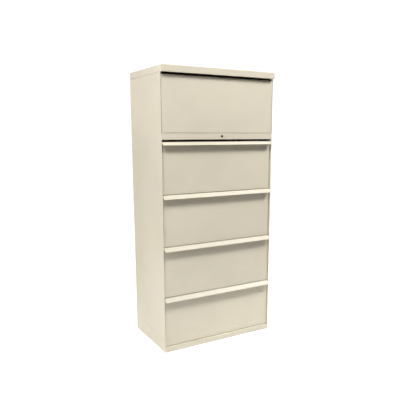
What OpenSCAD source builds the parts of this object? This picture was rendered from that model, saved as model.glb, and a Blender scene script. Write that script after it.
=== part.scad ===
// Five-high lateral filing cabinet: four file drawers under a compartment with a
// flip-up receding door. Units are millimetres. +Z is up, the front faces -Y and +X is
// the right-hand side seen from the front. The origin is on the floor, at the middle of
// the footprint.
//
// Every sub-part is drawn in case coordinates, where y = 0 is the front plane of the case
// and z = 0 is its bottom edge, and place() then moves it into the frame above.

/* [Case] */
// Width across the side panels
case_w = 762; // [760:1:764]
// Depth of the case, without the overhang of the cap
case_d = 457.2; // [455:0.1:480]
// Height from the bottom edge of the case to the top of the cap
case_h = 1672; // [1670:1:1676]
// Thickness of the outer sheet steel
skin_t = 1.2; // [1.0:0.1:1.4]
// Height of the case above the floor, set by the levelling glides
foot_h = 3; // [3:1:6]

/* [Cap and base] */
// Height of the cap
cap_h = 37.7; // [36:0.1:38]
// Overhang of the cap in front of the case
cap_lip = 18.4; // [18:0.1:25]
// Height of the base rail
base_h = 33; // [30:0.5:34]

/* [Lock rail] */
// Bottom edge of the rail
rail_low = 1269.1; // [1268:0.1:1270]
// Height of the rail
rail_h = 36.1; // [35:0.1:36.4]
// Distance of the lock to the right of the middle
lock_x = 13; // [0:1:30]
// Radius of the lock's face ring
lock_ring_r = 7.3; // [7:0.1:9]
// Throw of the lock cam
cam_throw = 12; // [12:0.5:12.5]

/* [Drawers] */
// Distance from one drawer to the next
drawer_pitch = 307.2; // [307:0.1:307.5]
// Gap between neighbouring drawer fronts
drawer_gap = 3; // [2:0.1:3.5]
// Gap between the lock rail and the top drawer
top_gap = 12.5; // [10:0.1:14]
// Drop of the other drawers' tops below whole pitches under the lock rail
pitch_drop = 7.2; // [5:0.1:8]
// Gap between the fronts and the side panels
side_gap = 2.8; // [2.5:0.1:3.5]
// Depth of the drawer fronts behind the front plane
front_set = 8; // [8:0.5:9]
// Reach of the pull in front of the drawer front
pull_reach = 26.4; // [26:0.1:26.4]
// Drop of the pull from its root to its tip
pull_drop = 22; // [21:0.1:24]
// Drop of the top drawer's pull, which hangs a little lower under the lock rail
top_pull_drop = 18.5; // [17:0.1:22]
// Thickness of the pull
pull_t = 2; // [1.6:0.1:2.4]
// Height of the drawer body's walls
tray_h = 228; // [150:1:230]

/* [Door] */
// Bottom edge of the door
door_low = 1307.4; // [1307:0.1:1308]
// Height of the door
door_h = 316; // [312:0.1:317]
// Thickness of the door
door_t = 18; // [16:0.5:18]

/* [Hidden] */
$fn = 64;

DRAWERS = [1, 2, 3, 4];

// Colours
CREAM = "#d9d2bd";
CREAM_DARK = "#cfc8b4";
ZINC = "#aeb2b4";
BLACK = "#1c1c1c";
IRON = "#55565a";
NYLON = "#e8e6de";

// Frame and main levels
screw_head_t = 1.6;
front_y = cap_lip - (case_d + cap_lip + screw_head_t) / 2;
half_w = case_w / 2;
in_x = half_w - skin_t;
cap_low = case_h - cap_h;
rail_top = rail_low + rail_h;
lock_z = rail_low + rail_h / 2 + 0.8;

// Back panel and the wall-fixing holes in it
back_y = case_d - skin_t;
wall_hole_x = 250;
wall_hole_z = 1560;
wall_hole_r = 3.5;

// Bottom pan and glides
pan_z = 8;
glide_x = 330;
glide_ys = [66, 410];
foot_r = 16;
stem_r = 4.75;
nut_r = 9;
nut_h = 8;

// Uprights: channels with their slotted web facing the drawers
upright_w = 30;
upright_t = 1.4;
upright_in = 366;
upright_ys = [30, 400];
upright_low = pan_z + skin_t + 0.2;
upright_high = 1290;
slot_pitch = 50.8;
slot_size = [4, 14];

// Drawer fronts and bodies
front_half = in_x - side_gap;
front_d = 14;
front_t = 1;
tray_t = 1;
tray_half = 352.8;
tray_y0 = front_set + front_d + 0.2;
tray_y1 = 418;
tray_up = 14;
hang_ys = [46, 357];
hang_h = 12;
hang_t = 3;

// Slides: each member is [outer x, inner x, half height, thickness, first y, last y]
slide_up = 110;
outer_member = [365.9, 354.5, 22.5, 1.5, 31, 433];
middle_member = [363.6, 354.9, 20, 1.4, 34, 424];
inner_member = [360.5, 353, 15.5, 1.4, 26, 418];

// Door, with its hinge axis inside its top edge
door_top = door_low + door_h;
hinge_y = 10;
hinge_z = door_top - 10;
sheet_t = 1;
pin_r = 3;
fit_r = 0.05;
ear_x = 346;
ear_t = 3;
ear_half = 6;
ear_stem = [24.4, 38];
notch_x = [341, 354];
notch_h = 26;
bracket_t = 2;

// Track and equaliser shaft above the door
ceiling_z = 1658;
track_x = [352, 367];
track_z = [1636, 1657.8];
track_y = [12, 430];
track_t = 1.2;
shaft_y = 31.2;
shaft_z = (track_z[0] + track_z[1]) / 2;
shaft_r = 4;
roller_x = [354.5, 364.5];
roller_r = (track_z[1] - track_z[0]) / 2 - track_t - 0.4;

// Lock works behind the rail
barrel_r = 6.3;
plug_r = 5;
cam_y = [24.4, 26.4];
rod_y = [27, 29];
bar_y = [24, 26];
bar_x = [-377, -367];
cam_dx = cam_throw * sin(45);
rod_low = 1272;
rod_high = 1284;
rod_end = -356;
rod_pin_z = 1277;
bar_lift = 12;
link_pin_r = 1.5;
link_slot = 4.2;
hook_len = 6;
hook_h = 12;
head_low = rod_pin_z - bar_lift - 8;

// ---- Helpers ----

module place() {
    translate([0, front_y, foot_h]) children();
}

module both_sides() {
    children();
    mirror([1, 0, 0]) children();
}

// Block between two corners
module block(lo, hi) {
    translate(lo) cube(hi - lo);
}

// Cylinder along X between x0 and x1, on the axis y, z
module rod_x(x0, x1, y, z, r) {
    translate([x0, y, z]) rotate([0, 90, 0]) cylinder(r = r, h = x1 - x0);
}

// Cylinder along Y between y0 and y1, on the axis x, z
module rod_y_axis(x, z, y0, y1, r) {
    translate([x, y0, z]) rotate([-90, 0, 0]) cylinder(r = r, h = y1 - y0);
}

function root_z(n) = n == 1 ? rail_low - top_gap
                            : rail_low - pitch_drop - (n - 1) * drawer_pitch;
function low_z(n) = n == len(DRAWERS) ? base_h + drawer_gap
                                      : root_z(n + 1) + drawer_gap;
function slide_z(n) = low_z(n) + slide_up;

// ---- Case ----

// Side panel on the right: skin, with flanges at the back, top and bottom
module side_panel() {
    back_flange = 12;
    bottom_flange = 20;
    top_flange = 12;
    union() {
        block([in_x, 0, 0], [half_w, case_d, cap_low - 0.3]);
        block([in_x - back_flange, back_y - skin_t, 0], [in_x, back_y, cap_low - 0.3]);
        block([in_x - bottom_flange, skin_t + 1, 0], [in_x, back_y, skin_t]);
        block([in_x - top_flange, 20, cap_low - 0.3 - skin_t], [in_x, back_y, cap_low - 0.3]);
    }
}

module side_left() {
    color(CREAM) place() mirror([1, 0, 0]) side_panel();
}

module side_right() {
    color(CREAM) place() side_panel();
}

module back_panel() {
    color(CREAM_DARK) place() difference() {
        block([-in_x, back_y, 0], [in_x, case_d, cap_low - 0.3]);
        for (s = [-1, 1])
            rod_y_axis(s * wall_hole_x, wall_hole_z, back_y - 1, case_d + 1, wall_hole_r);
    }
}

// Cap: a shallow pan turned over the top, with a hem under its front lip
module top_cap() {
    hem = 6;
    color(CREAM) place() union() {
        difference() {
            block([-half_w, -cap_lip, cap_low], [half_w, case_d, case_h]);
            block([-in_x, -cap_lip + skin_t, cap_low - 1], [in_x, back_y, case_h - skin_t]);
        }
        block([-in_x, -cap_lip, cap_low], [in_x, -cap_lip + hem, cap_low + skin_t]);
    }
}

// Ceiling inside the cap, turned up at its four edges to meet the cap's sheet
module top_inner() {
    ceiling_half = 372;
    rise = case_h - skin_t - ceiling_z;
    color(CREAM_DARK) place() difference() {
        block([-ceiling_half, 4, ceiling_z], [ceiling_half, 450, ceiling_z + rise]);
        block([-ceiling_half + skin_t, 4 + skin_t, ceiling_z + skin_t],
              [ceiling_half - skin_t, 450 - skin_t, ceiling_z + rise + 1]);
    }
}

module base_front() {
    flange = 26;
    color(CREAM) place() union() {
        block([-in_x, 0, 0], [in_x, skin_t, base_h]);
        block([-in_x, 0, base_h - skin_t], [in_x, flange, base_h]);
    }
}

module bottom_pan() {
    lip = 12;
    color(CREAM_DARK) place() difference() {
        union() {
            block([-in_x, skin_t, pan_z], [in_x, back_y - skin_t, pan_z + skin_t]);
            block([-in_x, skin_t, pan_z], [in_x, 2 * skin_t, pan_z + lip]);
            block([-in_x, back_y - 2 * skin_t, pan_z], [in_x, back_y - skin_t, pan_z + lip]);
        }
        for (s = [-1, 1], y = glide_ys)
            translate([s * glide_x, y, pan_z - 1]) cylinder(r = stem_r + 0.25, h = 4);
    }
}

// Rail between the door and the drawers, bored for the lock
module lock_rail() {
    top_flange = 40;
    bottom_flange = 20;
    color(CREAM) place() difference() {
        union() {
            block([-in_x, 0, rail_low], [in_x, skin_t, rail_top]);
            block([-in_x, 0, rail_top - skin_t], [in_x, top_flange, rail_top]);
            block([-in_x, 0, rail_low], [in_x, bottom_flange, rail_low + skin_t]);
        }
        rod_y_axis(lock_x, lock_z, -1, 3, barrel_r + fit_r);
    }
}

module compartment_floor() {
    y0 = 40.2;
    lip = 14;
    color(CREAM_DARK) place() union() {
        block([-in_x, y0, rail_top - skin_t], [in_x, back_y - skin_t - 0.2, rail_top]);
        block([-in_x + 15, y0, rail_top - lip], [in_x - 15, y0 + skin_t, rail_top]);
        block([-in_x + 15, back_y - 2 * skin_t - 0.2, rail_top - lip],
              [in_x - 15, back_y - skin_t - 0.2, rail_top]);
    }
}

// One upright on the right, with a row of slots in its web
module upright(y0) {
    slots = floor((upright_high - upright_low - 40) / slot_pitch);
    difference() {
        block([upright_in, y0, upright_low], [in_x, y0 + upright_w, upright_high]);
        block([upright_in + upright_t, y0 + upright_t, upright_low - 1],
              [in_x + 1, y0 + upright_w - upright_t, upright_high + 1]);
        for (i = [0 : slots])
            translate([upright_in - 1, y0 + upright_w / 2 - slot_size[0] / 2,
                       upright_low + 20 + i * slot_pitch])
                cube([upright_t + 2, slot_size[0], slot_size[1]]);
    }
}

module uprights_right() {
    color(ZINC) place() for (y = upright_ys) upright(y);
}

module uprights_left() {
    color(ZINC) place() mirror([1, 0, 0]) for (y = upright_ys) upright(y);
}

module counterweight() {
    color(IRON) place() block([-290, 300, pan_z + skin_t], [290, 448, pan_z + skin_t + 26]);
}

// Levelling glide: a foot with a threaded stem through the bottom pan
module levelling_glides() {
    foot_t = 6;
    color(BLACK) place() for (s = [-1, 1], y = glide_ys)
        translate([s * glide_x, y, -foot_h]) union() {
            cylinder(r = foot_r, h = foot_t);
            cylinder(r = stem_r, h = 42);
        }
}

module glide_nuts() {
    color(ZINC) place() for (s = [-1, 1], y = glide_ys)
        translate([s * glide_x, y, pan_z + skin_t]) difference() {
            cylinder(r = nut_r, h = nut_h, $fn = 6);
            translate([0, 0, -1]) cylinder(r = stem_r + 0.1, h = nut_h + 2);
        }
}

// Screws that hold the back panel to the flanges of the sides
module case_screws() {
    head_r = 4;
    rows = 6;
    color(ZINC) place() for (s = [-1, 1], i = [0 : rows - 1])
        rod_y_axis(s * (in_x - 6), 60 + i * (cap_low - 120) / (rows - 1),
                   case_d, case_d + screw_head_t, head_r);
}

// ---- Drawers ----

// Channel member of a slide on the right, open towards -x or towards +x
module member(m, z, open_in) {
    x0 = m[1];
    x1 = m[0];
    h = m[2];
    t = m[3];
    difference() {
        block([x0, m[4], z - h], [x1, m[5], z + h]);
        if (open_in) block([x0 - 1, m[4] - 1, z - h + t], [x1 - t, m[5] + 1, z + h - t]);
        else block([x0 + t, m[4] - 1, z - h + t], [x1 + 1, m[5] + 1, z + h - t]);
    }
}

module slide_outer(n) {
    color(ZINC) place() both_sides() member(outer_member, slide_z(n), true);
}

module slide_middle(n) {
    color(ZINC) place() both_sides() member(middle_member, slide_z(n), true);
}

module slide_inner(n) {
    color(ZINC) place() both_sides() member(inner_member, slide_z(n), false);
}

// Shallow pan that closes the front of a drawer
module drawer_front(n) {
    color(CREAM) place() difference() {
        block([-front_half, front_set, low_z(n)], [front_half, front_set + front_d, root_z(n)]);
        block([-front_half + front_t, front_set + front_t, low_z(n) + front_t],
              [front_half - front_t, front_set + front_d + 1, root_z(n) - front_t]);
    }
}

// Full-width hood pull: a sheet that slopes down and forward from the drawer's top edge,
// with a rounded tip and open ends
module pull(n) {
    drop = n == 1 ? top_pull_drop : pull_drop;
    slope = atan2(drop, pull_reach);
    tip_r = pull_t / 2;
    under = pull_t / cos(slope);
    tip = [-pull_reach + tip_r, -drop + tip_r * 0.6];
    color(CREAM) place() translate([-front_half, front_set, root_z(n)])
        rotate([90, 0, 90]) linear_extrude(2 * front_half) union() {
            polygon([[0, 0],
                     tip + tip_r * [-sin(slope), cos(slope)],
                     tip - tip_r * [-sin(slope), cos(slope)],
                     [0, -under]]);
            translate(tip) circle(r = tip_r, $fn = 32);
        }
}

// Open-topped drawer body
module tray(n) {
    z0 = low_z(n) + tray_up;
    color(CREAM_DARK) place() difference() {
        block([-tray_half, tray_y0, z0], [tray_half, tray_y1, z0 + tray_h]);
        block([-tray_half + tray_t, tray_y0 + tray_t, z0 + tray_t],
              [tray_half - tray_t, tray_y1 - tray_t, z0 + tray_h + 1]);
    }
}

// Two bars across the drawer that carry hanging folders
module hang_rails(n) {
    z1 = low_z(n) + tray_up + tray_h;
    color(ZINC) place() for (y = hang_ys)
        block([-tray_half + tray_t + 0.1, y, z1 - hang_h],
              [tray_half - tray_t - 0.1, y + hang_t, z1]);
}

// ---- Door ----

// Cut-outs at the door's top edge for the two carriage ears
module ear_notches() {
    both_sides() block([notch_x[0], sheet_t, door_top - notch_h],
                       [notch_x[1], door_t + 1, door_top + 1]);
}

module door_skin() {
    color(CREAM) place() difference() {
        block([-front_half, 0, door_low], [front_half, door_t - sheet_t, door_top]);
        block([-front_half + sheet_t, sheet_t, door_low + sheet_t],
              [front_half - sheet_t, door_t, door_top - sheet_t]);
        ear_notches();
    }
}

module door_pan() {
    color(CREAM_DARK) place() difference() {
        block([-front_half, door_t - sheet_t, door_low], [front_half, door_t, door_top]);
        ear_notches();
    }
}

// Plates on both sides of each ear that hold the hinge pin
module hinge_brackets() {
    low = hinge_z - 16;
    gap = 1.2;
    color(ZINC) place() both_sides()
        for (x = [ear_x - gap - bracket_t, ear_x + ear_t + gap])
            difference() {
                block([x, sheet_t + 0.1, low],
                      [x + bracket_t, door_t - sheet_t - 0.1, door_top - sheet_t - 0.1]);
                rod_x(x - 1, x + bracket_t + 1, hinge_y, hinge_z, pin_r + fit_r);
            }
}

module hinge_pins() {
    reach = 4.5;
    color(ZINC) place() both_sides()
        rod_x(ear_x - reach, ear_x + ear_t + reach, hinge_y, hinge_z, pin_r);
}

// Ear plates that carry the door's pins and ride on the equaliser shaft
module door_carriage() {
    color(ZINC) place() both_sides() difference() {
        union() {
            rod_x(ear_x, ear_x + ear_t, hinge_y, hinge_z, ear_half);
            block([ear_x, hinge_y, hinge_z - ear_half],
                  [ear_x + ear_t, ear_stem[1], hinge_z + ear_half]);
            block([ear_x, ear_stem[0], hinge_z - ear_half],
                  [ear_x + ear_t, ear_stem[1], shaft_z + 8]);
        }
        rod_x(ear_x - 1, ear_x + ear_t + 1, hinge_y, hinge_z, pin_r + fit_r);
        rod_x(ear_x - 1, ear_x + ear_t + 1, shaft_y, shaft_z, shaft_r + fit_r);
    }
}

module equaliser_shaft() {
    color(ZINC) place() rod_x(-roller_x[1], roller_x[1], shaft_y, shaft_z, shaft_r);
}

// Nylon wheels on the ends of the shaft
module track_rollers() {
    color(NYLON) place() both_sides() difference() {
        rod_x(roller_x[0], roller_x[1], shaft_y, shaft_z, roller_r);
        rod_x(roller_x[0] - 1, roller_x[1] + 1, shaft_y, shaft_z, shaft_r + 0.02);
    }
}

module door_tracks() {
    color(ZINC) place() both_sides() difference() {
        block([track_x[0], track_y[0], track_z[0]], [track_x[1], track_y[1], track_z[1]]);
        block([track_x[0] - 1, track_y[0] - 1, track_z[0] + track_t],
              [track_x[1] - track_t, track_y[1] + 1, track_z[1] - track_t]);
    }
}

// ---- Lock ----

module lock_barrel() {
    ring_t = 2;
    color(BLACK) place() difference() {
        union() {
            rod_y_axis(lock_x, lock_z, -ring_t, 0, lock_ring_r);
            rod_y_axis(lock_x, lock_z, -0.1, 22, barrel_r);
        }
        rod_y_axis(lock_x, lock_z, -ring_t - 1, 23, plug_r + fit_r);
    }
}

module lock_plug() {
    key_slot = [1.2, 3, 6.4];
    color(BLACK) place() difference() {
        rod_y_axis(lock_x, lock_z, -1.7, cam_y[0], plug_r);
        translate([lock_x - key_slot[0] / 2, -2, lock_z - key_slot[2] / 2]) cube(key_slot);
    }
}

// Cam with a crank pin, pointing down and to the right when the lock is open
module lock_cam() {
    cam_w = 6;
    arm_len = cam_throw + 3.5;
    color(ZINC) place() union() {
        rod_y_axis(lock_x, lock_z, cam_y[0], cam_y[1], plug_r - 0.3);
        translate([lock_x, cam_y[0] + 0.3, lock_z]) rotate([0, 45, 0])
            translate([0, 0, -cam_w / 2]) cube([arm_len, cam_y[1] - cam_y[0] - 0.6, cam_w]);
        rod_y_axis(lock_x + cam_dx, lock_z - cam_dx, cam_y[1] - 1, rod_y[1] + 1, link_pin_r);
    }
}

// Rod that the cam pushes to the left, with a slot for the crank pin
module lock_rod() {
    slot_low = rod_low + 1.2;
    slot_high = rod_high - 1.2;
    crank_x = lock_x + cam_dx;
    color(ZINC) place() difference() {
        union() {
            block([rod_end - 2, rod_y[0], rod_low], [crank_x + 12, rod_y[1], rod_high]);
            rod_y_axis(rod_end, rod_pin_z, bar_y[0] - 1, rod_y[0] + 0.2, link_pin_r);
        }
        block([crank_x - link_slot / 2 - 0.4, rod_y[0] - 1, slot_low],
              [crank_x + link_slot / 2 + 0.4, rod_y[1] + 1, slot_high]);
    }
}

// Vertical bar with a hook above each drawer's slide
module lock_bar() {
    color(ZINC) place() union() {
        block([bar_x[0], bar_y[0], 60], [bar_x[1], bar_y[1], head_low]);
        for (n = DRAWERS)
            block([bar_x[1] - 1, bar_y[0], slide_z(n) + 40],
                  [bar_x[1] + hook_len, bar_y[1], slide_z(n) + 40 + hook_h]);
    }
}

// Head plate on top of the lock bar, which the rod lifts through an inclined slot
module lock_bar_head() {
    travel = 2 * cam_dx;
    incline = atan2(bar_lift, travel);
    slot_len = norm([travel, bar_lift]);
    color(ZINC) place() difference() {
        block([bar_x[0] - 1, bar_y[0], head_low], [rod_end + 5, bar_y[1], rod_pin_z + 8]);
        translate([rod_end, bar_y[0] - 1, rod_pin_z]) rotate([0, -incline, 0])
            translate([-slot_len, 0, -link_slot / 2]) cube([slot_len, 4, link_slot]);
        rod_y_axis(rod_end, rod_pin_z, bar_y[0] - 1, bar_y[1] + 1, link_slot / 2);
        rod_y_axis(rod_end - travel, rod_pin_z - bar_lift,
                   bar_y[0] - 1, bar_y[1] + 1, link_slot / 2);
    }
}

// Small U brackets on the left upright that keep the lock bar in line
module lock_bar_guides() {
    guide_h = 8;
    wall = 1.2;
    clear = 0.5;
    color(ZINC) place() for (n = DRAWERS) difference() {
        block([bar_x[0] - clear - wall, bar_y[0] - clear - wall, slide_z(n) + 74],
              [bar_x[1] + clear + wall, upright_ys[0], slide_z(n) + 74 + guide_h]);
        block([bar_x[0] - clear, bar_y[0] - clear, slide_z(n) + 73],
              [bar_x[1] + clear, bar_y[1] + clear, slide_z(n) + 75 + guide_h]);
    }
}

// ---- Assembly ----

side_left();
side_right();
back_panel();
top_cap();
top_inner();
base_front();
bottom_pan();
lock_rail();
compartment_floor();
uprights_left();
uprights_right();
counterweight();
levelling_glides();
glide_nuts();
door_tracks();
lock_barrel();
lock_bar_guides();
case_screws();
door_skin();
door_pan();
hinge_brackets();
hinge_pins();
door_carriage();
equaliser_shaft();
track_rollers();
lock_plug();
lock_cam();
lock_rod();
lock_bar();
lock_bar_head();
for (n = DRAWERS) {
    slide_outer(n);
    slide_middle(n);
    slide_inner(n);
    drawer_front(n);
    pull(n);
    tray(n);
    hang_rails(n);
}
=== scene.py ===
"""Looks of a five-high lateral filing cabinet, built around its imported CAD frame.

Sheet-metal parts are formed here with their real bend radii, hems and joints, and stand for the
plain CAD nodes. Everything is in metres, in the CAD's frame: +Z up, the front faces -Y.
"""
import math

import bmesh
import bpy
from mathutils import Matrix, Vector


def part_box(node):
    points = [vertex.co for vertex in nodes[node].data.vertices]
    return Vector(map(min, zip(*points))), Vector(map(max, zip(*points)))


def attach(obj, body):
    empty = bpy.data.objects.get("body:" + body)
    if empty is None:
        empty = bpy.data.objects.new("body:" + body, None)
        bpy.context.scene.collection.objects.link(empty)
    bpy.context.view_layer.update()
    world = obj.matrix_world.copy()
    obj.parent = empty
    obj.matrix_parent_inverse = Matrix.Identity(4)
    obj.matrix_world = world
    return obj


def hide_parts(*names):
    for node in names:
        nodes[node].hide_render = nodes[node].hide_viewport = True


MM = 0.001
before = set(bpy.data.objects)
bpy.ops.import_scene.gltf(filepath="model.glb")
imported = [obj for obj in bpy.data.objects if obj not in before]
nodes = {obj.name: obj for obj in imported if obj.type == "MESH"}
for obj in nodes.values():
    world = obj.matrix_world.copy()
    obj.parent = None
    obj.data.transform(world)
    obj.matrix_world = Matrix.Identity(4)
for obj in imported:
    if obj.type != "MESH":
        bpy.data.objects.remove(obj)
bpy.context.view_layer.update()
DRAWERS = (1, 2, 3, 4)


# ---------------------------------------------------------------- materials

def node_link(tree, kind, **values):
    """A new shader node with some of its input sockets set."""
    node = tree.nodes.new(kind)
    for name, value in values.items():
        node.inputs[name.replace("_", " ")].default_value = value
    return node


def noise(tree, coords, scale, detail=2.0, roughness=0.5):
    """Grey level of a noise texture."""
    node = node_link(tree, "ShaderNodeTexNoise", Scale=scale, Detail=detail, Roughness=roughness)
    tree.links.new(coords, node.inputs["Vector"])
    return node.outputs["Fac"]


def ramp(tree, value, low, high, at=(0.35, 0.65)):
    """Colour or grey level between low and high, as value goes from at[0] to at[1]."""
    node = tree.nodes.new("ShaderNodeValToRGB")
    for stop, place, colour in zip(node.color_ramp.elements, at, (low, high)):
        stop.position = place
        stop.color = colour if len(colour) == 4 else (*colour, 1.0)
    tree.links.new(value, node.inputs["Fac"])
    return node.outputs["Color"]


def grey(level):
    """Opaque grey colour."""
    return (level, level, level, 1.0)


def bump(tree, height, strength, distance, normal=None):
    """Normal pushed about by a height; distance is in metres."""
    node = node_link(tree, "ShaderNodeBump", Strength=strength, Distance=distance)
    tree.links.new(height, node.inputs["Height"])
    if normal is not None:
        tree.links.new(normal, node.inputs["Normal"])
    return node.outputs["Normal"]


def mix(tree, kind, share, first, second):
    """Blend of two colours; share, first and second are sockets or constants."""
    node = tree.nodes.new("ShaderNodeMix")
    node.data_type = "RGBA"
    node.blend_type = kind
    for socket, value in ((node.inputs[0], share), (node.inputs[6], first), (node.inputs[7], second)):
        if isinstance(value, bpy.types.NodeSocket):
            tree.links.new(value, socket)
        else:
            socket.default_value = value
    return node.outputs[2]


def stretched(tree, coords, scale):
    """Coordinates scaled by a different factor along each axis."""
    node = tree.nodes.new("ShaderNodeMapping")
    node.inputs["Scale"].default_value = scale
    tree.links.new(coords, node.inputs["Vector"])
    return node.outputs["Vector"]


def new_material(name):
    """A material, its node tree, its shader and the object's coordinates."""
    material = bpy.data.materials.new(name)
    material.use_nodes = True
    tree = material.node_tree
    shader = tree.nodes["Principled BSDF"]
    coords = tree.nodes.new("ShaderNodeTexCoord").outputs["Object"]
    return material, tree, shader, coords


def powder_coat(name, colour, roughness=0.42, tone=0.05, peel=0.5, scuffs=0.3):
    """Baked paint on sheet steel: orange peel, slow waves in the sheet, soft mottling, and
    scuffs and dust that gather low down."""
    material, tree, shader, coords = new_material(name)
    dark = tuple(c * (1 - tone) for c in colour)
    light = tuple(min(1.0, c * (1 + tone * 0.6)) for c in colour)
    broad = ramp(tree, noise(tree, coords, 2.3, 3), dark, light)
    fine = ramp(tree, noise(tree, coords, 420, 2), grey(0.965), grey(1.0))
    tinted = mix(tree, "MULTIPLY", 1.0, broad, fine)
    height = tree.nodes.new("ShaderNodeSeparateXYZ")
    tree.links.new(coords, height.inputs["Vector"])
    low_down = ramp(tree, height.outputs["Z"], grey(1.0), grey(0.0), (0.0, 0.22))
    patches = ramp(tree, noise(tree, stretched(tree, coords, (9, 9, 30)), 1.0, 5, 0.65),
                   grey(0.0), grey(1.0), (0.52, 0.7))
    scuffed = mix(tree, "MULTIPLY", 1.0, low_down, patches)
    share = mix(tree, "MULTIPLY", 1.0, scuffed, grey(scuffs))
    dusty = (colour[0] * 0.62, colour[1] * 0.6, colour[2] * 0.6, 1.0)
    tree.links.new(mix(tree, "MIX", share, tinted, dusty), shader.inputs["Base Color"])
    handled = noise(tree, stretched(tree, coords, (6, 6, 14)), 1.0, 4)
    tree.links.new(ramp(tree, handled, grey(roughness - 0.05), grey(roughness + 0.07)),
                   shader.inputs["Roughness"])
    waves = bump(tree, noise(tree, coords, 4.5, 1), 0.35, 0.0012)
    tree.links.new(bump(tree, noise(tree, coords, 750, 1), peel, 0.00008, waves),
                   shader.inputs["Normal"])
    shader.inputs["IOR"].default_value = 1.5
    shader.inputs["Specular IOR Level"].default_value = 0.42
    return material


def zinc_plate(name, colour, roughness):
    """Zinc-plated steel with rolling marks along Y and faint spangle."""
    material, tree, shader, coords = new_material(name)
    marks = noise(tree, stretched(tree, coords, (900, 25, 900)), 1.0, 3)
    cells = tree.nodes.new("ShaderNodeTexVoronoi")
    cells.inputs["Scale"].default_value = 140
    tree.links.new(coords, cells.inputs["Vector"])
    spangle = ramp(tree, cells.outputs["Color"], tuple(c * 0.88 for c in colour), colour, (0.2, 0.8))
    streaks = ramp(tree, marks, grey(0.9), grey(1.0))
    tree.links.new(mix(tree, "MULTIPLY", 1.0, spangle, streaks), shader.inputs["Base Color"])
    tree.links.new(ramp(tree, marks, grey(roughness - 0.06), grey(roughness + 0.12)),
                   shader.inputs["Roughness"])
    tree.links.new(bump(tree, marks, 0.3, 0.00003), shader.inputs["Normal"])
    shader.inputs["Metallic"].default_value = 0.95
    return material


def black_metal(name):
    """Semi-gloss black finish of the lock, rubbed round its face."""
    material, tree, shader, coords = new_material(name)
    rub = noise(tree, coords, 900, 4)
    tree.links.new(ramp(tree, rub, (0.004, 0.004, 0.005), (0.012, 0.012, 0.013)),
                   shader.inputs["Base Color"])
    tree.links.new(ramp(tree, rub, grey(0.42), grey(0.58)), shader.inputs["Roughness"])
    tree.links.new(bump(tree, rub, 0.2, 0.00004), shader.inputs["Normal"])
    shader.inputs["Specular IOR Level"].default_value = 0.2
    return material


def moulded(name, low, high, roughness):
    """Moulded plastic with a fine matt grain."""
    material, tree, shader, coords = new_material(name)
    grain = noise(tree, coords, 1400, 3)
    tree.links.new(ramp(tree, noise(tree, coords, 60, 3), low, high), shader.inputs["Base Color"])
    tree.links.new(ramp(tree, grain, grey(roughness - 0.06), grey(roughness + 0.08)),
                   shader.inputs["Roughness"])
    tree.links.new(bump(tree, grain, 0.35, 0.00006), shader.inputs["Normal"])
    return material


def cast_iron(name):
    """Raw cast iron with sand-cast grain and a bloom of rust."""
    material, tree, shader, coords = new_material(name)
    rust = ramp(tree, noise(tree, coords, 22, 6, 0.7), grey(0.0), grey(1.0), (0.5, 0.7))
    body = ramp(tree, noise(tree, coords, 260, 4), (0.06, 0.06, 0.062), (0.13, 0.13, 0.135))
    tree.links.new(mix(tree, "MIX", rust, body, (0.21, 0.085, 0.035, 1.0)),
                   shader.inputs["Base Color"])
    tree.links.new(ramp(tree, rust, grey(0.6), grey(0.88)), shader.inputs["Roughness"])
    tree.links.new(bump(tree, noise(tree, coords, 320, 5), 0.6, 0.0006), shader.inputs["Normal"])
    return material


CREAM = (0.700, 0.643, 0.512)
# Cream of the inner parts, darker than the case's: painted shade for the insides of the case, door
# and drawers
CREAM_INSIDE_SHADED = (0.62, 0.575, 0.47)
# Cream of the pulls, darker than the case's: painted shade that tones down the extra light their
# upward slopes catch
CREAM_PULL_SHADED = (0.585, 0.543, 0.438)
case_paint = powder_coat("case_paint", CREAM)
front_paint = powder_coat("front_paint", CREAM, roughness=0.40, scuffs=0.2)
# The pulls' paint carries that painted shade in its darker cream
pull_paint = powder_coat("pull_paint", CREAM_PULL_SHADED, roughness=0.38, scuffs=0.1)
# Inner parts' paint: its darker cream is painted shade, on a rougher, more mottled coat
inner_paint = powder_coat("inner_paint", CREAM_INSIDE_SHADED, roughness=0.5, tone=0.08, peel=0.8)
zinc = zinc_plate("zinc_steel", (0.60, 0.62, 0.63), 0.34)
lock_black = black_metal("lock_black")
glide_black = moulded("glide_black", (0.018, 0.018, 0.019), (0.035, 0.035, 0.036), 0.55)
# Near-black strip in the gaps round the door: painted shade of those gaps
gap_shade_black = moulded("gap_shade_black", (0.010, 0.010, 0.011), (0.022, 0.022, 0.023), 0.85)
nylon = moulded("nylon", (0.70, 0.69, 0.64), (0.80, 0.79, 0.74), 0.42)
iron = cast_iron("cast_weight")


# ---------------------------------------------------------------- mesh tools

SHARP_ANGLE = math.radians(35.0)  # edges that turn more than this stay sharp
BEVEL_ANGLE = math.radians(60)
FLAT_WEIGHT = 80  # share that large faces have in the smoothed normals


def finish_piece(name, bm, material, body, replaces=()):
    """Turns a bmesh into a finished piece that rides on a body."""
    mesh = bpy.data.meshes.new(name)
    bm.normal_update()
    bm.to_mesh(mesh)
    bm.free()
    mesh.materials.append(material)
    for face in mesh.polygons:
        face.use_smooth = True
    mesh.set_sharp_from_angle(angle=SHARP_ANGLE)
    piece = bpy.data.objects.new(name, mesh)
    bpy.context.scene.collection.objects.link(piece)
    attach(piece, body)
    if replaces:
        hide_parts(*replaces)
    return piece


def soften_edges(piece, radius):
    """Rounds the cut edges of the sheet."""
    soft = piece.modifiers.new("soft_edges", "BEVEL")
    soft.width = radius
    soft.segments = 2
    soft.limit_method = "ANGLE"
    soft.angle_limit = BEVEL_ANGLE


def keep_flats_flat(piece):
    """Shades the flat faces flat right up to their rounded edges."""
    weighted = piece.modifiers.new("flat_faces", "WEIGHTED_NORMAL")
    weighted.keep_sharp = True
    weighted.weight = FLAT_WEIGHT


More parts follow.
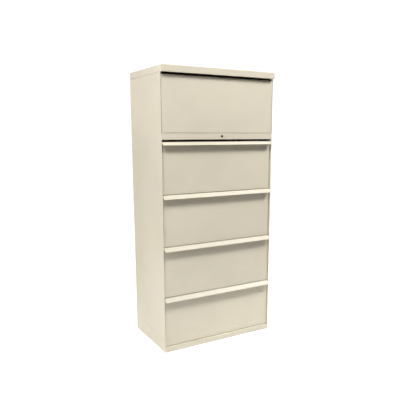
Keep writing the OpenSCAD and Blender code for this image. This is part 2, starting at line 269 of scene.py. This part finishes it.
CUBE_FACES = {
    "-x": ((0, 0, 0), (0, 0, 1), (0, 1, 1), (0, 1, 0)),
    "+x": ((1, 0, 0), (1, 1, 0), (1, 1, 1), (1, 0, 1)),
    "-y": ((0, 0, 0), (1, 0, 0), (1, 0, 1), (0, 0, 1)),
    "+y": ((0, 1, 0), (0, 1, 1), (1, 1, 1), (1, 1, 0)),
    "-z": ((0, 0, 0), (0, 1, 0), (1, 1, 0), (1, 0, 0)),
    "+z": ((0, 0, 1), (1, 0, 1), (1, 1, 1), (0, 1, 1)),
}


def add_box(bm, lo, hi, radius=0.0, open_side=None, segments=3):
    """Adds a box, open on one side if asked, with its closed edges rounded."""
    made = bmesh.new()
    corners = {}
    for key in {c for face in CUBE_FACES.values() for c in face}:
        corners[key] = made.verts.new([hi[i] if key[i] else lo[i] for i in range(3)])
    for side, face in CUBE_FACES.items():
        if side != open_side:
            made.faces.new([corners[c] for c in face])
    if radius > 0:
        edges = [e for e in made.edges if len(e.link_faces) == 2]
        bmesh.ops.bevel(made, geom=edges, offset=radius, segments=segments, profile=0.5,
                        affect="EDGES", clamp_overlap=True)
    copied = {v: bm.verts.new(v.co) for v in made.verts}
    for face in made.faces:
        bm.faces.new([copied[v] for v in face.verts])
    made.free()


def fold_sheet(piece, sheet):
    """Gives an open surface the thickness of the sheet, inwards from its outer face."""
    solid = piece.modifiers.new("sheet", "SOLIDIFY")
    solid.thickness = sheet
    solid.offset = -1
    solid.use_even_offset = True
    keep_flats_flat(piece)


def pan(name, lo, hi, open_side, radius, sheet, material, body, replaces=()):
    """Box folded from one sheet, open on one side, with rounded bends."""
    bm = bmesh.new()
    add_box(bm, lo, hi, radius, open_side)
    piece = finish_piece(name, bm, material, body, replaces)
    fold_sheet(piece, sheet)
    return piece


def rounded_path(path, radii, steps=5):
    """Points along an open 2D path with its corners rounded, each with its normal to the left."""
    points = [Vector(p) for p in path]
    ways = [(b - a).normalized() for a, b in zip(points, points[1:])]
    left = [Vector((-w.y, w.x)) for w in ways]
    out = [(points[0], left[0])]
    for i in range(1, len(points) - 1):
        turn = ways[i - 1].angle_signed(ways[i]) * -1
        side = 1 if turn > 0 else -1
        radius = radii[i - 1]
        reach = radius * math.tan(abs(turn) / 2)
        start = points[i] - ways[i - 1] * reach
        centre = start + left[i - 1] * radius * side
        for k in range(steps + 1):
            normal = Matrix.Rotation(turn * k / steps, 2) @ left[i - 1]
            out.append((centre - normal * radius * side, normal))
    out.append((points[-1], left[-1]))
    return out


# How a path's two coordinates and the sweep's own become x, y and z
PLANES = {
    "x": lambda u, v, w: (w, u, v),
    "y": lambda u, v, w: (u, w, v),
    "z": lambda u, v, w: (u, v, w),
}


def add_bent(bm, path, sheet, radii, axis, start, end, steps=5):
    """Adds a bent sheet: path is its outer face in the plane across axis, and the metal lies to
    the left of the path. radii holds one bend radius for each corner, or one for all."""
    place = PLANES[axis]
    if not isinstance(radii, (list, tuple)):
        radii = [radii] * (len(path) - 2)
    rings = []
    for w in (start, end):
        outer = []
        inner = []
        for point, normal in rounded_path(path, radii, steps):
            off = point + normal * sheet
            outer.append(bm.verts.new(place(point.x, point.y, w)))
            inner.append(bm.verts.new(place(off.x, off.y, w)))
        rings.append((outer, inner))
    (o0, i0), (o1, i1) = rings
    made = []
    for k in range(len(o0) - 1):
        made.append(bm.faces.new((o0[k], o0[k + 1], o1[k + 1], o1[k])))
        made.append(bm.faces.new((i0[k], i1[k], i1[k + 1], i0[k + 1])))
        made.append(bm.faces.new((o0[k], i0[k], i0[k + 1], o0[k + 1])))
        made.append(bm.faces.new((o1[k], o1[k + 1], i1[k + 1], i1[k])))
    made.append(bm.faces.new((o0[0], o1[0], i1[0], i0[0])))
    made.append(bm.faces.new((o0[-1], i0[-1], i1[-1], o1[-1])))
    bmesh.ops.recalc_face_normals(bm, faces=made)


def add_turned(bm, centre, profile, axis="y", sides=32):
    """Adds a solid of revolution. profile lists (along, radius) from one end to the other."""
    rings = []
    for along, r in profile:
        ring = []
        for k in range(sides):
            a = 2 * math.pi * k / sides
            u, v = r * math.cos(a), r * math.sin(a)
            ring.append(bm.verts.new(Vector(centre) + Vector(PLANES[axis](u, v, along))))
        rings.append(ring)
    made = []
    for a, b in zip(rings, rings[1:]):
        for k in range(sides):
            made.append(bm.faces.new((a[k], a[(k + 1) % sides], b[(k + 1) % sides], b[k])))
    made.append(bm.faces.new(rings[0]))
    made.append(bm.faces.new(rings[-1]))
    bmesh.ops.recalc_face_normals(bm, faces=made)


def cut(piece, bm):
    """Cuts a shape out of a piece, and keeps the result as the piece's mesh."""
    mesh = bpy.data.meshes.new("cutter")
    bm.to_mesh(mesh)
    bm.free()
    cutter = bpy.data.objects.new("cutter", mesh)
    bpy.context.scene.collection.objects.link(cutter)
    boolean = piece.modifiers.new("cut", "BOOLEAN")
    boolean.operation = "DIFFERENCE"
    boolean.solver = "EXACT"
    boolean.object = cutter
    bpy.context.view_layer.update()
    shaped = piece.evaluated_get(bpy.context.evaluated_depsgraph_get())
    result = bpy.data.meshes.new_from_object(shaped)
    piece.modifiers.clear()
    piece.data = result
    bpy.data.objects.remove(cutter)


def cut_boxes(piece, boxes):
    """Cuts boxes, each a pair of opposite corners, out of a piece."""
    bm = bmesh.new()
    for lo, hi in boxes:
        add_box(bm, lo, hi)
    cut(piece, bm)


def span(a, b):
    """The two values in rising order."""
    return min(a, b), max(a, b)


# ---------------------------------------------------------------- places

side_lo, side_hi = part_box("side_right")
half_w = side_hi.x
front_y = side_lo.y
case_low = side_lo.z
case_back = side_hi.y
cap_lo, cap_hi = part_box("top_cap")
rail_lo, rail_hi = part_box("lock_rail")
lock = sum(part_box("lock_plug"), Vector()) / 2
base_lo, base_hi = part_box("base_front")
SHEET = 1.2 * MM  # of the case
THIN_SHEET = 1.0 * MM  # of the drawers and the door
BARREL_R = 6.35 * MM
PLUG_BORE_R = 5.05 * MM
in_x = half_w - SHEET


# ---------------------------------------------------------------- case

def side_panel(sign, node):
    """Outer side, turned in at the back and hemmed beside the drawers, with angles welded along
    its top and bottom."""
    bm = bmesh.new()
    top = side_hi.z
    joint = 0.9 * MM
    flange = 12 * MM
    leg = 20 * MM
    low_leg = 7.5 * MM
    bend = 2 * MM
    hem = 11 * MM
    hem_edge = 0.4 * MM
    back = case_back - SHEET
    skin = [(sign * half_w, front_y), (sign * half_w, back), (sign * (in_x - flange), back)]
    top_angle = [(sign * in_x, top - leg), (sign * in_x, top), (sign * (in_x - flange), top)]
    low_angle = [(sign * (in_x - leg), case_low), (sign * in_x, case_low),
                 (sign * in_x, case_low + low_leg)]
    if sign < 0:
        for path in (skin, top_angle, low_angle):
            path.reverse()
    add_bent(bm, skin, SHEET, bend, "z", case_low, top - joint)
    back_end = back - SHEET - 0.2 * MM
    add_bent(bm, top_angle, SHEET, bend, "y", front_y + leg, back_end)
    add_bent(bm, low_angle, SHEET, bend, "y", front_y + 2.2 * MM, back_end)
    x0, x1 = span(sign * (in_x - SHEET), sign * (in_x - 0.02 * MM))
    add_box(bm, (x0, front_y + 0.1 * MM, base_hi.z + 1 * MM),
            (x1, front_y + hem, rail_lo.z - 1 * MM), hem_edge)
    piece = finish_piece(node + "_panel", bm, case_paint, "cabinet", (node,))
    soften_edges(piece, hem_edge)
    keep_flats_flat(piece)


def cap():
    """Cap folded from one sheet, with a hem turned in under its front lip."""
    hem = 8 * MM
    bend = 2.2 * MM
    hem_bend = 1.6 * MM
    bm = bmesh.new()
    add_box(bm, cap_lo, cap_hi, bend, "-z")
    front = [e for e in bm.edges
             if e.is_boundary and all(abs(v.co.y - cap_lo.y) < 1e-6 for v in e.verts)]
    grown = bmesh.ops.extrude_edge_only(bm, edges=front)["geom"]
    for vert in grown:
        if isinstance(vert, bmesh.types.BMVert):
            vert.co.y += hem
    bmesh.ops.bevel(bm, geom=front, offset=hem_bend, segments=4, profile=0.5, affect="EDGES")
    bmesh.ops.recalc_face_normals(bm, faces=bm.faces)
    piece = finish_piece("cap_shell", bm, case_paint, "cabinet", ("top_cap",))
    fold_sheet(piece, SHEET)


def rails():
    """Lock rail and base rail, each turned back at its edges."""
    rail_bend = 1.4 * MM
    base_bend = 1.8 * MM
    lower = 20 * MM
    reach = 3 * MM
    bm = bmesh.new()
    add_bent(bm, [(rail_hi.y, rail_hi.z), (front_y, rail_hi.z), (front_y, rail_lo.z),
                  (front_y + lower, rail_lo.z)], SHEET, rail_bend, "x", rail_lo.x, rail_hi.x)
    rail = finish_piece("lock_rail_formed", bm, case_paint, "cabinet", ("lock_rail",))
    hole = bmesh.new()
    add_turned(hole, (lock.x, front_y, lock.z), [(-reach, BARREL_R), (reach, BARREL_R)])
    cut(rail, hole)
    keep_flats_flat(rail)
    bm = bmesh.new()
    add_bent(bm, [(base_hi.y, base_hi.z), (front_y, base_hi.z), (front_y, base_lo.z)],
             SHEET, base_bend, "x", base_lo.x, base_hi.x)
    base = finish_piece("base_rail_formed", bm, case_paint, "cabinet", ("base_front",))
    keep_flats_flat(base)


def back_screws():
    """Pan-head screws with a cross recess, round the edges of the back panel."""
    lo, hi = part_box("case_screws")
    head_r = 4 * MM
    rows = 6
    arm, thin, deep = 1.9 * MM, 0.45 * MM, 0.9 * MM
    head = hi.y - lo.y
    z0, z1 = lo.z + head_r, hi.z - head_r
    bm = bmesh.new()
    dome = [(0, 1.0), (0.45, 1.0), (0.75, 0.9), (0.93, 0.68), (1.0, 0.35), (1.0, 0.05)]
    places = []
    for x in (lo.x + head_r, hi.x - head_r):
        for k in range(rows):
            z = z0 + (z1 - z0) * k / (rows - 1)
            add_turned(bm, (x, lo.y, z), [(a * head, r * head_r) for a, r in dome], sides=24)
            places.append((x, z))
    screws = finish_piece("back_screws", bm, zinc, "cabinet", ("case_screws",))
    for wide, high in ((arm, thin), (thin, arm)):
        cut_boxes(screws, [((x - wide, hi.y - deep, z - high),
                            (x + wide, hi.y + 1 * MM, z + high)) for x, z in places])


def glides():
    """Levelling feet with a rounded black shoe and a threaded stem."""
    lo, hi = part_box("levelling_glides")
    foot_r = 16 * MM
    stem_r = 4.75 * MM
    shoe_h = 6 * MM
    shoe = [(0, 0.86), (0.4, 0.95), (1.2, 1.0), (3.6, 1.0), (5.2, 0.9), (6.0, 0.62)]
    turns = 22
    pitch = (hi.z - lo.z - 8 * MM) / turns
    stem = [(shoe_h, 0.9 * stem_r)]
    for k in range(turns):
        base = shoe_h + k * pitch
        stem += [(base + 0.3 * pitch, stem_r), (base + 0.55 * pitch, stem_r),
                 (base + 0.85 * pitch, 0.87 * stem_r), (base + pitch, 0.87 * stem_r)]
    stem.append((hi.z - lo.z, 0.75 * stem_r))
    feet = bmesh.new()
    stems = bmesh.new()
    for x in (lo.x + foot_r, hi.x - foot_r):
        for y in (lo.y + foot_r, hi.y - foot_r):
            add_turned(feet, (x, y, lo.z), [(a * MM, r * foot_r) for a, r in shoe], "z", 40)
            add_turned(stems, (x, y, lo.z), stem, "z", 20)
    finish_piece("glide_feet", feet, glide_black, "cabinet", ("levelling_glides",))
    finish_piece("glide_stems", stems, zinc, "cabinet", ("levelling_glides",))


def lock_face():
    """Rounded ring of the lock, with the barrel behind it."""
    lo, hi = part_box("lock_barrel")
    ring_r = (hi.z - lo.z) / 2
    proud = front_y - lo.y
    bore = PLUG_BORE_R
    tube_r = BARREL_R - 0.1 * MM
    tube_end = hi.y - front_y
    profile = [(0, bore), (-proud * 0.7, bore), (-proud * 0.95, bore + 0.35 * MM),
               (-proud, bore + 0.8 * MM), (-proud * 0.95, ring_r - 0.7 * MM),
               (-proud * 0.6, ring_r - 0.15 * MM), (0, ring_r), (0, tube_r),
               (tube_end, tube_r), (tube_end, bore)]
    bm = bmesh.new()
    sides = 48
    rings = []
    for along, r in profile:
        ring = [bm.verts.new((lock.x + r * math.cos(2 * math.pi * k / sides), front_y + along,
                              lock.z + r * math.sin(2 * math.pi * k / sides))) for k in range(sides)]
        rings.append(ring)
    for a, b in zip(rings, rings[1:] + rings[:1]):
        for k in range(sides):
            bm.faces.new((a[k], a[(k + 1) % sides], b[(k + 1) % sides], b[k]))
    bmesh.ops.recalc_face_normals(bm, faces=bm.faces)
    finish_piece("lock_barrel_ring", bm, lock_black, "cabinet", ("lock_barrel",))


# ---------------------------------------------------------------- drawers

def hood_pull(n, body):
    """Pull: from the drawer's top edge it slopes down and forward, and folds back under its tip."""
    lo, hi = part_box(f"pull_{n}")
    flange = 6.5 * MM
    root_bend = 2.2 * MM
    fold = 1.08 * MM
    turned_back = 9 * MM
    slope = Vector((lo.y - hi.y, lo.z - hi.z)).normalized()
    under = Vector((-slope.y, slope.x))
    root = Vector((hi.y, hi.z))
    tip = Vector((lo.y, lo.z)) - under * 1.1 * MM - slope * 0.6 * MM
    back = tip + under * 2.2 * MM
    path = [root + Vector((flange, 0)), root, tip, back, back - slope * turned_back]
    bm = bmesh.new()
    add_bent(bm, [tuple(p) for p in path], THIN_SHEET, [root_bend, fold, fold], "x", lo.x, hi.x, 6)
    keep_flats_flat(finish_piece(f"hood_pull_{n}", bm, pull_paint, body,
                                 (f"pull_{n}",)))


RIVETS_X = (-0.36, -0.12, 0.12, 0.36)


def drawer_front(n, body):
    """Front pan under the pull's sheet, and the liner that closes it behind."""
    lo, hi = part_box(f"drawer_front_{n}")
    bend = 1.8 * MM
    inset = THIN_SHEET + 0.3 * MM
    bead = 2.5 * MM
    top = hi.z - THIN_SHEET - 0.02 * MM
    pan(f"drawer_face_{n}", lo, (hi.x, hi.y, top), "+y", bend, THIN_SHEET, front_paint, body,
        (f"drawer_front_{n}",))
    bm = bmesh.new()
    liner_lo = Vector((lo.x + inset, hi.y - 1.6 * MM, lo.z + inset))
    liner_hi = Vector((hi.x - inset, hi.y - 0.6 * MM, top - inset))
    add_box(bm, liner_lo, liner_hi, 0.3 * MM, None, 1)
    for x in RIVETS_X:
        rivet = (x, liner_hi.y, liner_hi.z - 8 * MM)
        add_turned(bm, rivet, [(0, bead), (0.3 * MM, 0.9 * bead), (0.5 * MM, 0.4 * bead)], "y", 20)
    finish_piece(f"drawer_liner_{n}", bm, inner_paint, body)


def tray(n, body):
    """Open drawer body: rounded folds, walls rolled over at the top, and slots for dividers."""
    lo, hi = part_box(f"tray_{n}")
    bend = 3 * MM
    roll = 5 * MM
    roll_bend = 1.5 * MM
    slot_half_w, slot_half_l = 1.5 * MM, 20 * MM
    bm = bmesh.new()
    add_box(bm, lo, hi, bend, "+z")
    rim = [e for e in bm.edges if e.is_boundary]
    grown = bmesh.ops.extrude_edge_only(bm, edges=rim)["geom"]
    middle = (lo + hi) / 2
    half = (hi - lo) / 2
    for vert in grown:
        if isinstance(vert, bmesh.types.BMVert):
            for axis in (0, 1):
                away = vert.co[axis] - middle[axis]
                vert.co[axis] = middle[axis] + away * (half[axis] - roll) / half[axis]
    bmesh.ops.bevel(bm, geom=rim, offset=roll_bend, segments=3, profile=0.5, affect="EDGES")
    bmesh.ops.recalc_face_normals(bm, faces=bm.faces)
    piece = finish_piece(f"tray_formed_{n}", bm, inner_paint, body, (f"tray_{n}",))
    fold_sheet(piece, THIN_SHEET)
    slots = []
    columns = 13
    for row in (0.2, 0.8):
        y = lo.y + (hi.y - lo.y) * row
        for k in range(columns):
            x = lo.x + (hi.x - lo.x) * (k + 1) / (columns + 1)
            slots.append(((x - slot_half_w, y - slot_half_l, lo.z - 1 * MM),
                          (x + slot_half_w, y + slot_half_l, lo.z + 3 * MM)))
    cut_boxes(piece, slots)
    keep_flats_flat(piece)


def hang_rail_pair(n, body):
    """Folded rails for hanging files, just inside the tray's front and back walls."""
    lo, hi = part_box(f"hang_rails_{n}")
    thick = 3 * MM
    short = 4 * MM
    sheet = 0.9 * MM
    bend = 1.2 * MM
    bm = bmesh.new()
    for y in (lo.y, hi.y - thick):
        add_bent(bm, [(y + thick, lo.z + short), (y + thick, hi.z), (y, hi.z), (y, lo.z)],
                 sheet, bend, "x", lo.x, hi.x, 4)
    keep_flats_flat(finish_piece(f"hang_rails_formed_{n}", bm, zinc, body,
                                 (f"hang_rails_{n}",)))


# Depth of each slide member's channel, from its web to its lips, and its wall
SLIDE_DEPTH = {"outer": 11.4 * MM, "middle": 8.7 * MM, "inner": 7.5 * MM}
SLIDE_WALL = {"outer": 1.5 * MM, "middle": 1.4 * MM, "inner": 1.4 * MM}
SLIDE_BEND = 2.2 * MM


def slide_channel(kind, n, body, opens_in):
    """Rolled channels of one slide member, one at each side."""
    lo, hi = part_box(f"slide_{kind}_{n}")
    bm = bmesh.new()
    deep = SLIDE_DEPTH[kind]
    x_out, x_in = hi.x, hi.x - deep
    web, lips = (x_out, x_in) if opens_in else (x_in, x_out)
    for sign in (-1, 1):
        path = [(sign * lips, lo.z), (sign * web, lo.z), (sign * web, hi.z), (sign * lips, hi.z)]
        if sign * (web - lips) < 0:
            path.reverse()
        add_bent(bm, path, SLIDE_WALL[kind], SLIDE_BEND, "y", lo.y, hi.y, 4)
    keep_flats_flat(finish_piece(f"slide_{kind}_rolled_{n}", bm, zinc, body,
                                 (f"slide_{kind}_{n}",)))


def drawer(n):
    """One drawer with its front, pull, tray, rails and slides."""
    body = f"drawer_{n}"
    drawer_front(n, body)
    hood_pull(n, body)
    tray(n, body)
    hang_rail_pair(n, body)
    slide_channel("outer", n, "cabinet", True)
    slide_channel("middle", n, f"slide_middle_{n}", True)
    slide_channel("inner", n, body, False)


# ---------------------------------------------------------------- door

def paint_door_gap_shade(lo, hi, top):
    """Black strip round the door's two ends and its lower edge, set in the gaps: painted shade that
    darkens the gap lines round the door.
    """
    strip_t = 1.1 * MM
    edge = 0.2 * MM
    y0, y1 = lo.y + 1.3 * MM, hi.y - 1 * MM
    bm = bmesh.new()
    for x in (lo.x - strip_t, hi.x):
        add_box(bm, (x, y0, lo.z), (x + strip_t, y1, top), edge)
    add_box(bm, (lo.x + 2 * MM, y0, lo.z - strip_t), (hi.x - 2 * MM, y1, lo.z), edge)
    finish_piece("door_gap_shade_strip", bm, gap_shade_black, "door")


def door():
    """Door skin with notches for the carriage's ears, its black strip of painted gap shade and its
    bumpers.
    """
    lo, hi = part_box("door_skin")
    bend = 1.1 * MM
    ear_t = 3 * MM
    gap = 5 * MM
    bumper_r = 6 * MM
    skin = pan("door_face", lo, hi, "+y", bend, THIN_SHEET, front_paint, "door",
               ("door_skin",))
    ear_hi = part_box("door_carriage")[1]
    notch_low = hi.z - 26 * MM
    notches = []
    for sign in (-1, 1):
        x0, x1 = span(sign * (ear_hi.x - ear_t - gap), sign * (ear_hi.x + gap))
        notches.append(((x0, lo.y + 1.0 * MM, notch_low), (x1, hi.y + 5 * MM, hi.z + 5 * MM)))
    cut_boxes(skin, notches)
    keep_flats_flat(skin)
    paint_door_gap_shade(lo, hi, notch_low)
    # rubber bumpers on the door's inner face, near its lower corners
    pan_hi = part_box("door_pan")[1]
    profile = [(0, 1.0), (0.9, 0.97), (1.5, 0.8), (1.8, 0.45)]
    bm = bmesh.new()
    for x in (-1, 1):
        add_turned(bm, (x * (hi.x - 30 * MM), pan_hi.y, lo.z + 22 * MM),
                   [(a * MM, r * bumper_r) for a, r in profile], "y", 24)
    finish_piece("door_bumpers", bm, glide_black, "door")


# ---------------------------------------------------------------- CAD nodes that stay

# Everything not named here or replaced by a piece above is zinc plated
STAY = {
    case_paint: ("back_panel",),
    inner_paint: ("top_inner", "bottom_pan", "compartment_floor", "door_pan"),
    lock_black: ("lock_plug",),
    nylon: ("track_rollers",),
    iron: ("counterweight",),
}


def dress(node, material):
    """Gives a CAD node one material."""
    mesh = nodes[node].data
    mesh.materials.clear()
    mesh.materials.append(material)


def dress_cad():
    """Gives every CAD node its material."""
    for name in nodes:
        dress(name, zinc)
    for material, names in STAY.items():
        for name in names:
            dress(name, material)


# ---------------------------------------------------------------- studio

# Strengths of the lights: watts of the softboxes, and glow of the sky and the backdrop
LEFT_KEY = 112
RIGHT_KEY = 192
LEFT_FILL = 68
BACK_FILL = 60
SKY_LIGHT = 0.12
FLOOR_GLOW = 1.05
BACKDROP_GLOW = 1.1

# Half widths of the floor and of the part of it that lights the object, and backdrop radius
FLOOR_REACH = 30.0
BOUNCE_REACH = 1.6
BACKDROP_R = 60.0

# The camera, from the case's lower front left corner; turned right of +Y and tilted down
CAMERA_LEFT, CAMERA_AHEAD, CAMERA_HIGH = 1.1423, 2.5112, 1.3016
CAMERA_TURN, CAMERA_TILT = math.radians(30.243), math.radians(10.770)
CAMERA_LENS = 43.753
CAMERA_SHIFT = (-0.0288, 0.0659)


def stage_sheet(name, reach, z, material):
    """Square part of the floor, which isn't part of the object."""
    bm = bmesh.new()
    corners = ((-1, -1), (1, -1), (1, 1), (-1, 1))
    bm.faces.new([bm.verts.new((x * reach, y * reach, z)) for x, y in corners])
    mesh = bpy.data.meshes.new(name)
    bm.to_mesh(mesh)
    bm.free()
    mesh.materials.append(material)
    sheet = bpy.data.objects.new(name, mesh)
    bpy.context.scene.collection.objects.link(sheet)
    return sheet


def stage_paint(name, albedo, glow=0.0):
    """Plain matt white that may glow."""
    material, _, shader, _ = new_material(name)
    shader.inputs["Base Color"].default_value = grey(albedo)
    shader.inputs["Roughness"].default_value = 0.9
    shader.inputs["Specular IOR Level"].default_value = 0.1
    shader.inputs["Emission Color"].default_value = grey(1.0)
    shader.inputs["Emission Strength"].default_value = glow
    return material


def floor_and_backdrop():
    """White floor and backdrop. The camera sees a wide floor, and the object is lit by a
    smaller sheet of it just below."""
    seen = stage_sheet("floor", FLOOR_REACH, 0.0, stage_paint("floor_white", 0.35, FLOOR_GLOW))
    seen.visible_diffuse = False
    seen.visible_glossy = False
    seen.visible_shadow = False
    bounce = stage_sheet("floor_bounce", BOUNCE_REACH, -1 * MM, stage_paint("floor_paper", 0.82))
    bounce.visible_camera = False

    bm = bmesh.new()
    bmesh.ops.create_uvsphere(bm, u_segments=48, v_segments=24, radius=BACKDROP_R)
    bmesh.ops.reverse_faces(bm, faces=bm.faces)
    mesh = bpy.data.meshes.new("backdrop")
    bm.to_mesh(mesh)
    bm.free()
    backdrop = bpy.data.objects.new("backdrop", mesh)
    bpy.context.scene.collection.objects.link(backdrop)
    mesh.materials.append(stage_paint("backdrop_white", 0.0, BACKDROP_GLOW))
    backdrop.visible_diffuse = False
    backdrop.visible_glossy = False
    backdrop.visible_transmission = False
    backdrop.visible_shadow = False


def sky(strength):
    """Soft light from overhead that fades towards the horizon."""
    world = bpy.data.worlds.new("studio")
    world.use_nodes = True
    tree = world.node_tree
    way = tree.nodes.new("ShaderNodeSeparateXYZ")
    tree.links.new(tree.nodes.new("ShaderNodeTexCoord").outputs["Generated"], way.inputs["Vector"])
    colour = ramp(tree, way.outputs["Z"], grey(0.12), grey(1.0), (0.15, 0.85))
    tree.links.new(colour, tree.nodes["Background"].inputs["Color"])
    tree.nodes["Background"].inputs["Strength"].default_value = strength
    bpy.context.scene.world = world


def softbox(name, place, target, size, power):
    """Rectangular area light aimed at a target."""
    light = bpy.data.lights.new(name, "AREA")
    light.shape = "RECTANGLE"
    light.size, light.size_y = size
    light.energy = power
    lamp = bpy.data.objects.new(name, light)
    bpy.context.scene.collection.objects.link(lamp)
    lamp.location = place
    aim = Vector(target) - Vector(place)
    lamp.rotation_euler = aim.to_track_quat("-Z", "Y").to_euler()


def place_camera():
    """Camera at the photograph's viewing angle."""
    camera = bpy.data.objects.new("camera", bpy.data.cameras.new("camera"))
    bpy.context.scene.collection.objects.link(camera)
    bpy.context.scene.camera = camera
    camera.location = (-half_w - CAMERA_LEFT, front_y - CAMERA_AHEAD, case_low + CAMERA_HIGH)
    camera.rotation_euler = (math.pi / 2 - CAMERA_TILT, 0, -CAMERA_TURN)
    camera.data.sensor_width = 36
    camera.data.lens = CAMERA_LENS
    camera.data.shift_x, camera.data.shift_y = CAMERA_SHIFT
    camera.data.clip_end = 150


def studio():
    """Floor, backdrop, sky, two key softboxes, fills and the camera."""
    scene = bpy.context.scene
    scene.view_settings.view_transform = "Standard"
    scene.view_settings.look = "None"
    scene.cycles.use_denoising = True
    floor_and_backdrop()
    sky(SKY_LIGHT)
    out, ahead, high = 2.4, 1.55, 4.0
    middle = (0.0, front_y, 0.85)
    softbox("key_left", (-out, front_y - ahead, high), middle, (1.0, 1.0), LEFT_KEY)
    softbox("key_right", (out, front_y - ahead, high), middle, (1.0, 1.0), RIGHT_KEY)
    softbox("fill_left", (-4.0, -0.9, 1.2), (-half_w, 0, 0.8), (2.5, 2.5), LEFT_FILL)
    for x in (-2.5, 2.5):
        softbox("fill_back", (x, 3.0, 3.2), (0, case_back, 0.8), (1.5, 1.5), BACK_FILL)
    place_camera()


# ---------------------------------------------------------------- build

dress_cad()
for side, panel_node in ((-1, "side_left"), (1, "side_right")):
    side_panel(side, panel_node)
cap()
rails()
back_screws()
glides()
lock_face()
for number in DRAWERS:
    drawer(number)
door()
studio()
